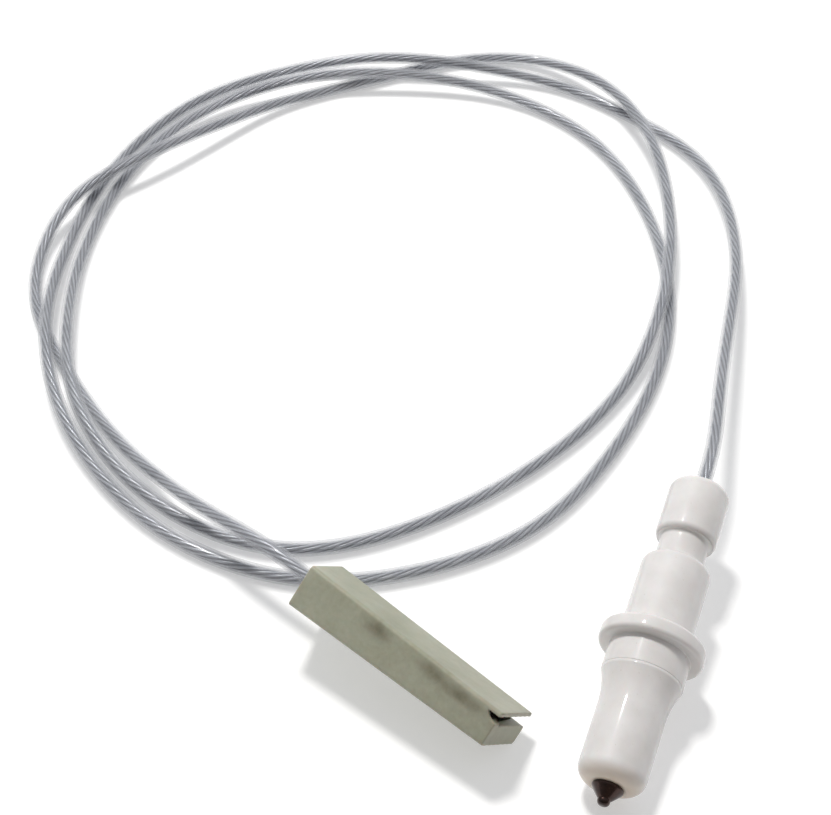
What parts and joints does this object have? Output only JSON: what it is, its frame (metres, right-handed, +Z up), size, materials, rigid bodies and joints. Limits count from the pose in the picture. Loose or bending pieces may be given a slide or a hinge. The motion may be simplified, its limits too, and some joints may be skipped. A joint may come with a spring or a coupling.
{
  "type": "ignition electrode",
  "caption": "Gas hob ignition electrode: glazed ceramic insulator with seating flange, clip groove and metal spark tip, on a clear-jacketed lead that ends in a sleeved push-on receptacle.",
  "frame": {"origin": "on the table under the middle of the insulator and its electrode, which lie on the rims of the flange and the nose", "axes": "+Y along the insulator's length from the tip towards the cap that the lead leaves, +X to the right seen from the tip with the cap away, +Z up"},
  "size_m": [0.12, 0.1436, 0.0142],
  "materials": {
    "glazed_ceramic": "gloss glaze",
    "electrode_metal": "heat-darkened steel",
    "cement": "matt cement",
    "plated_steel": "nickel-plated, dull",
    "seal_rubber": "matt silicone",
    "clear_jacket": "clear, smooth",
    "tinned_strand": "bright tinned strands",
    "sleeve_plastic": "translucent natural nylon, satin"
  },
  "bodies": {
    "electrode": {"ceramic_insulator": "glazed_ceramic", "centre_electrode": "electrode_metal", "nose_cement": "cement", "crimp_ferrule": "plated_steel", "lead_seal": "seal_rubber", "lead_jacket": "clear_jacket", "lead_conductor": "tinned_strand", "receptacle_terminal": "plated_steel"},
    "sleeve": {"connector_sleeve": "sleeve_plastic"}
  },
  "joints": [
    {"name": "sleeve_slide", "type": "slide", "parent": "electrode", "child": "sleeve", "axis": [0.9324, -0.3504, -0.0889], "range_m": [0, 0.006]}
  ]
}
